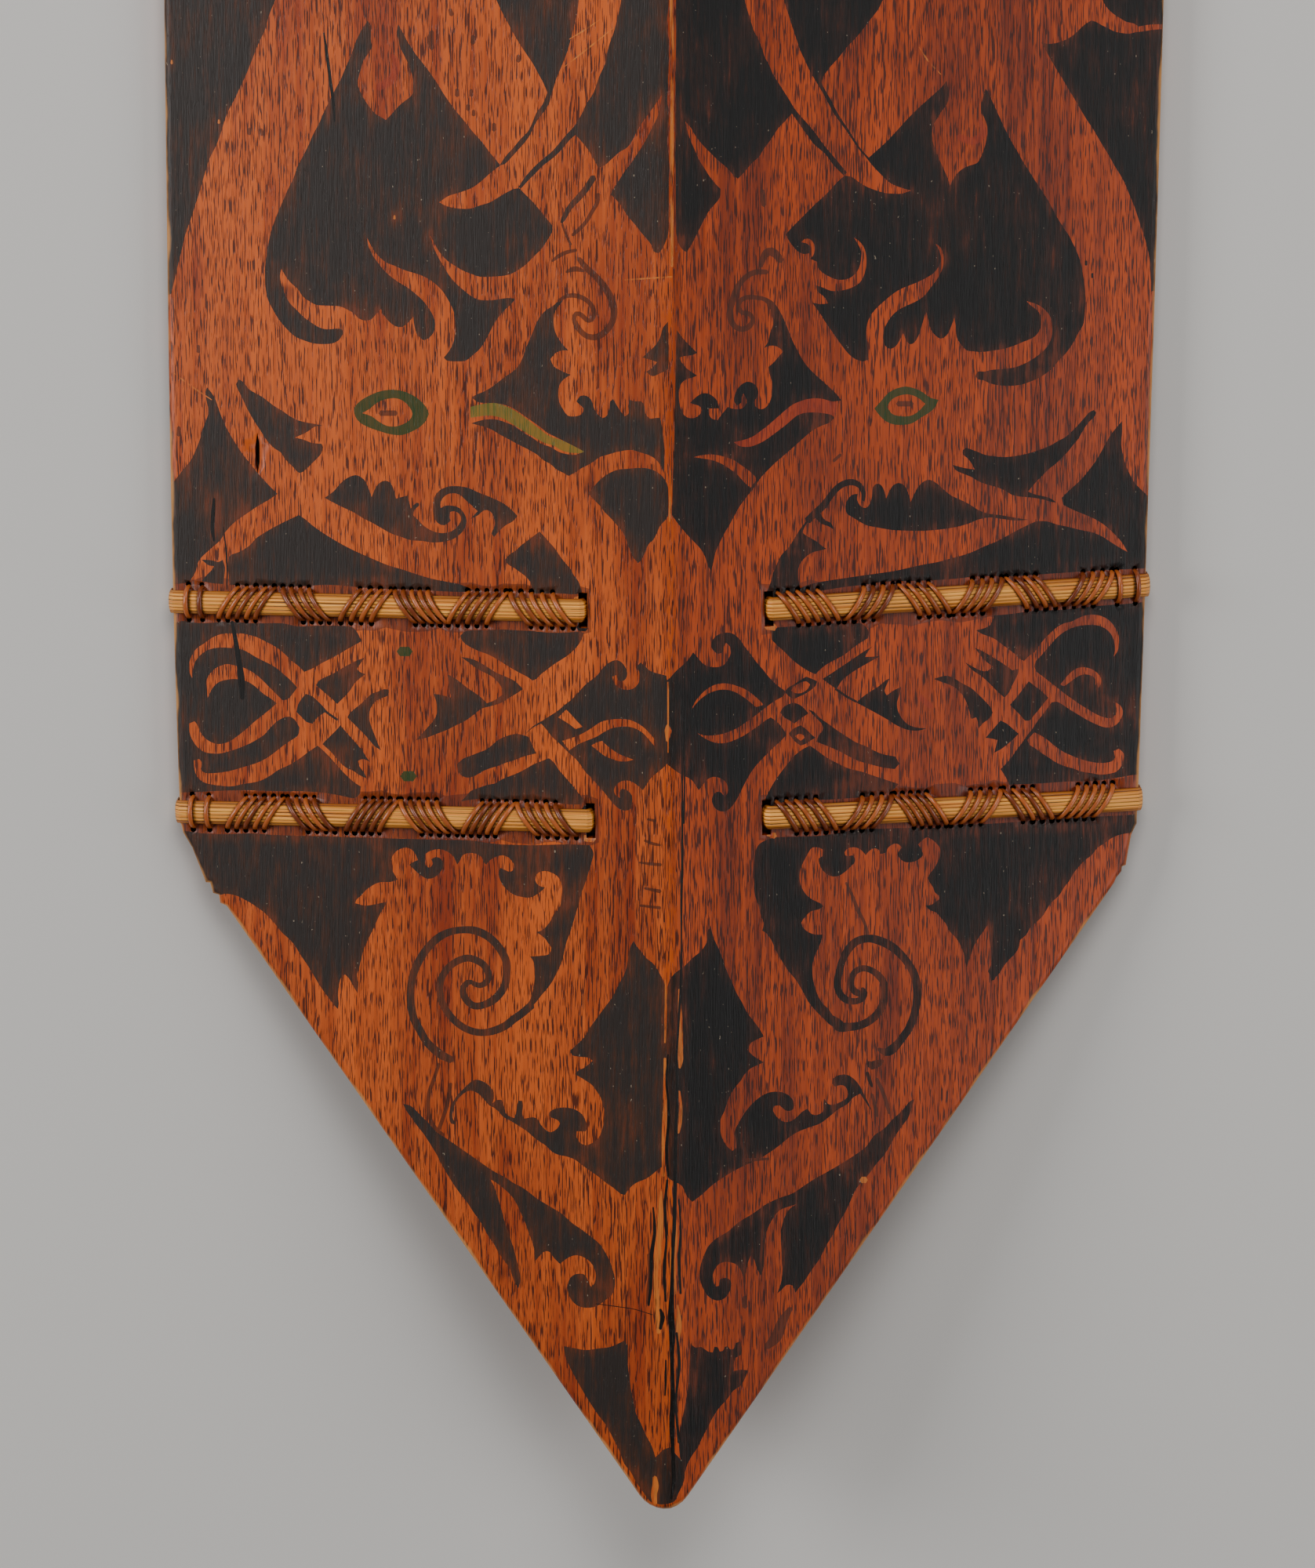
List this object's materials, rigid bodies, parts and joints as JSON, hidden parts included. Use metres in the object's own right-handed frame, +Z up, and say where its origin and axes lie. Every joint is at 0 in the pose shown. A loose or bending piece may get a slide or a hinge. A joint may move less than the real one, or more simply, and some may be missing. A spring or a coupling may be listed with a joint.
{
  "type": "hand shield",
  "caption": "Long hexagonal wooden shield with a ridged front, a carved grip behind and lashed cane bands near both ends.",
  "frame": {"origin": "centre of the bounding box, on the floor that the shield lies on", "axes": "+Z up, out of the ridged front face; Y along the ridge, with the pictured end at -Y; X across the wings"},
  "size_m": [0.3814, 1.2532, 0.0643],
  "materials": {
    "stained_wood": "light softwood, stained red-brown, painted and lightly varnished",
    "split_cane": "split cane, honey yellow, satin",
    "lashing_rattan": "split rattan strand, red-brown, satin"
  },
  "bodies": {
    "root": {"board_and_grip": "stained_wood", "cane_lower_left_inboard": "split_cane", "cane_lower_right_inboard": "split_cane", "cane_lower_left_outboard": "split_cane", "cane_lower_right_outboard": "split_cane", "cane_upper_left_inboard": "split_cane", "cane_upper_right_inboard": "split_cane", "cane_upper_left_outboard": "split_cane", "cane_upper_right_outboard": "split_cane", "lashing_lower_left_inboard": "lashing_rattan", "lashing_lower_right_inboard": "lashing_rattan", "lashing_lower_left_outboard": "lashing_rattan", "lashing_lower_right_outboard": "lashing_rattan", "lashing_upper_left_inboard": "lashing_rattan", "lashing_upper_right_inboard": "lashing_rattan", "lashing_upper_left_outboard": "lashing_rattan", "lashing_upper_right_outboard": "lashing_rattan"}
  },
  "joints": []
}
